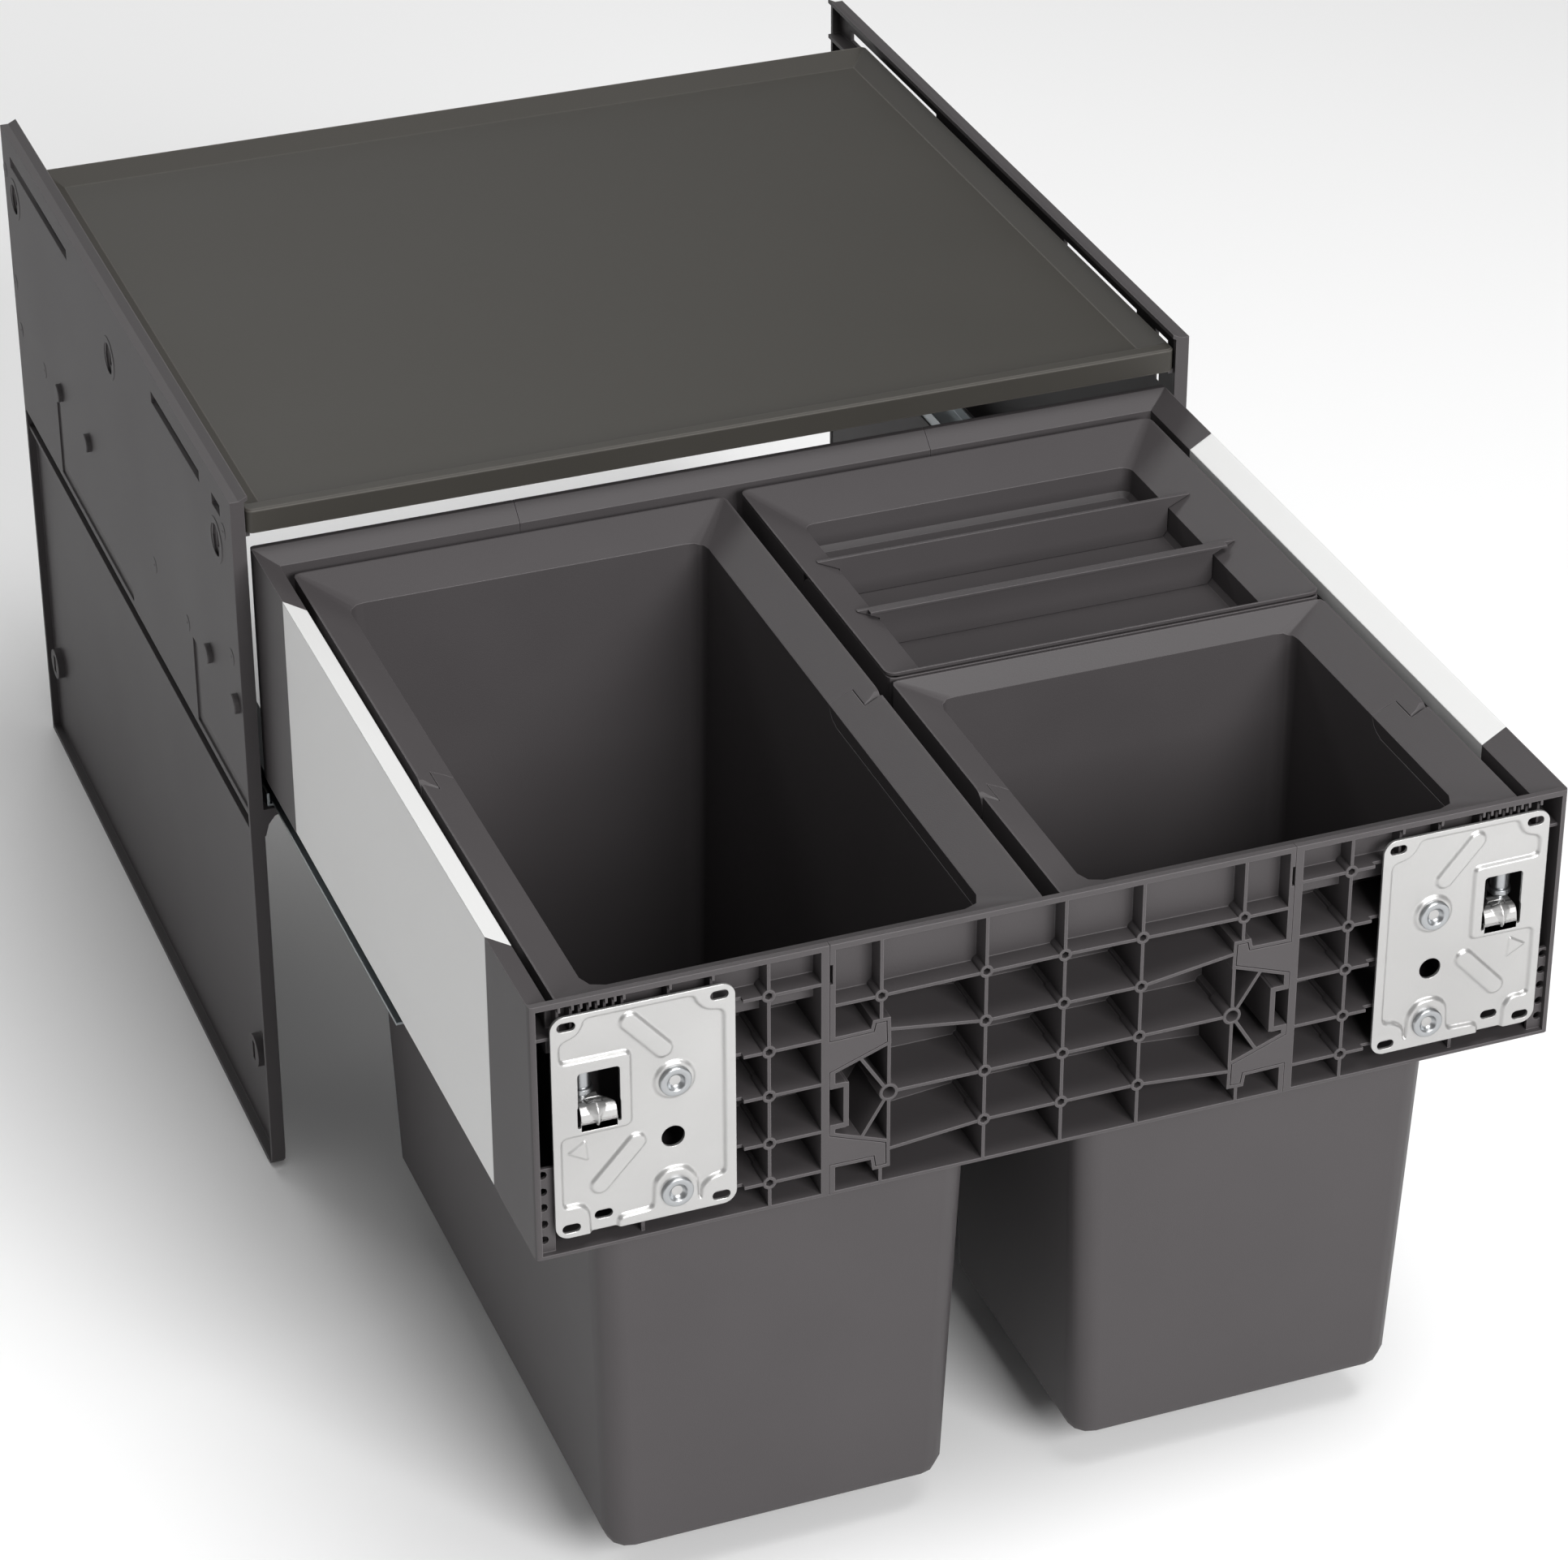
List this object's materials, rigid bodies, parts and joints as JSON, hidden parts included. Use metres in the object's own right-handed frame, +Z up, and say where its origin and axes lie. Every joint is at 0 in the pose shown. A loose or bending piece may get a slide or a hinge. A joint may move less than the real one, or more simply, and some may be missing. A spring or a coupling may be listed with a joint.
{
  "type": "pull-out waste bin cabinet insert",
  "caption": "Pull-out waste separation drawer for a kitchen base cabinet: a frame on slides holds lift-out bins and an organiser tray under a fixed cover tray between two side panels.",
  "frame": {"origin": "on the cabinet's base plane, midway between the side panels and midway between the front of the pulled-out drawer and the rear edge of the panels", "axes": "+X to the right as seen from the front, +Y to the rear, +Z up; the drawer pulls out along -Y"},
  "size_m": [0.562, 1.0082, 0.4365],
  "materials": {
    "dark_plastic": "fine grain",
    "cover_sheet": "matt powder coat",
    "pale_profile": "satin powder coat",
    "zinc_sheet": "bright zinc",
    "slide_steel": "zinc plated",
    "screw_steel": "zinc plated"
  },
  "bodies": {
    "cabinet": {"side_panel_left": "dark_plastic", "side_panel_right": "dark_plastic", "cover_tray": "cover_sheet", "cabinet_rail_left": "slide_steel", "cabinet_rail_right": "slide_steel"},
    "slide_left": {"middle_rail_left": "slide_steel"},
    "slide_right": {"middle_rail_right": "slide_steel"},
    "drawer": {"front_centre_section": "dark_plastic", "rear_centre_section": "dark_plastic", "front_end_section_left": "dark_plastic", "front_end_section_right": "dark_plastic", "rear_end_section_left": "dark_plastic", "rear_end_section_right": "dark_plastic", "side_beam_left": "dark_plastic", "side_beam_right": "dark_plastic", "side_profile_left": "pale_profile", "side_profile_right": "pale_profile", "centre_rail": "dark_plastic", "drawer_rail_left": "slide_steel", "drawer_rail_right": "slide_steel", "plate_screw_upper_left": "screw_steel", "plate_screw_upper_right": "screw_steel", "plate_screw_lower_left": "screw_steel", "plate_screw_lower_right": "screw_steel"},
    "plate_left": {"fixing_plate_left": "zinc_sheet"},
    "plate_right": {"fixing_plate_right": "zinc_sheet"},
    "adjuster_left": {"height_adjuster_left": "screw_steel"},
    "adjuster_right": {"height_adjuster_right": "screw_steel"},
    "large_bin_body": {"large_bin": "dark_plastic"},
    "large_handle": {"large_bin_handle": "dark_plastic"},
    "front_bin_body": {"front_bin": "dark_plastic"},
    "front_handle": {"front_bin_handle": "dark_plastic"},
    "rear_bin_body": {"rear_bin": "dark_plastic", "rear_bin_handle": "dark_plastic"},
    "tray": {"organiser_tray": "dark_plastic"},
    "divider_rear": {"rear_divider": "dark_plastic"},
    "divider_front": {"front_divider": "dark_plastic"}
  },
  "joints": [
    {"name": "drawer_slide", "type": "slide", "parent": "cabinet", "child": "drawer", "axis": [0, 1, 0], "range_m": [0, 0.4693]},
    {"name": "left_slide", "type": "slide", "parent": "cabinet", "child": "slide_left", "axis": [0, 1, 0], "range_m": [0, 0.23465]},
    {"name": "right_slide", "type": "slide", "parent": "cabinet", "child": "slide_right", "axis": [0, 1, 0], "range_m": [0, 0.23465]},
    {"name": "large_bin_lift", "type": "slide", "parent": "drawer", "child": "large_bin_body", "axis": [0, 0, -1], "range_m": [-0.4, 0]},
    {"name": "front_bin_lift", "type": "slide", "parent": "drawer", "child": "front_bin_body", "axis": [0, 0, -1], "range_m": [-0.4, 0]},
    {"name": "rear_bin_lift", "type": "slide", "parent": "drawer", "child": "rear_bin_body", "axis": [0, 0, -1], "range_m": [-0.4, 0]},
    {"name": "tray_lift", "type": "slide", "parent": "rear_bin_body", "child": "tray", "axis": [0, 0, -1], "range_m": [-0.15, 0]},
    {"name": "rear_divider_lift", "type": "slide", "parent": "tray", "child": "divider_rear", "axis": [0, 0, -1], "range_m": [-0.06, 0]},
    {"name": "front_divider_lift", "type": "slide", "parent": "tray", "child": "divider_front", "axis": [0, 0, -1], "range_m": [-0.06, 0]},
    {"name": "large_handle_hinge", "type": "hinge", "parent": "large_bin_body", "child": "large_handle", "pos_m": [-0.128, -0.2699, 0.3825], "axis": [1, 0, 0], "range_deg": [-90, 0]},
    {"name": "front_handle_hinge", "type": "hinge", "parent": "front_bin_body", "child": "front_handle", "pos_m": [0.128, -0.38115, 0.3825], "axis": [1, 0, 0], "range_deg": [-90, 0]},
    {"name": "plate_left_height", "type": "slide", "parent": "drawer", "child": "plate_left", "axis": [0, 0, 1], "range_m": [-0.0015, 0.0015]},
    {"name": "adjuster_left_turn", "type": "hinge", "parent": "plate_left", "child": "adjuster_left", "pos_m": [-0.2415, -0.4913, 0.355], "axis": [0, 0, 1], "range_deg": [-545, 545]},
    {"name": "plate_right_height", "type": "slide", "parent": "drawer", "child": "plate_right", "axis": [0, 0, 1], "range_m": [-0.0015, 0.0015]},
    {"name": "adjuster_right_turn", "type": "hinge", "parent": "plate_right", "child": "adjuster_right", "pos_m": [0.2415, -0.4913, 0.355], "axis": [0, 0, 1], "range_deg": [-545, 545]}
  ],
  "couplings": [
    {"joint": "left_slide", "follows": "drawer_slide", "ratio": 0.5},
    {"joint": "right_slide", "follows": "drawer_slide", "ratio": 0.5},
    {"joint": "adjuster_left_turn", "follows": "plate_left_height", "rad_per_m": 6283.2},
    {"joint": "adjuster_right_turn", "follows": "plate_right_height", "rad_per_m": 6283.2}
  ]
}
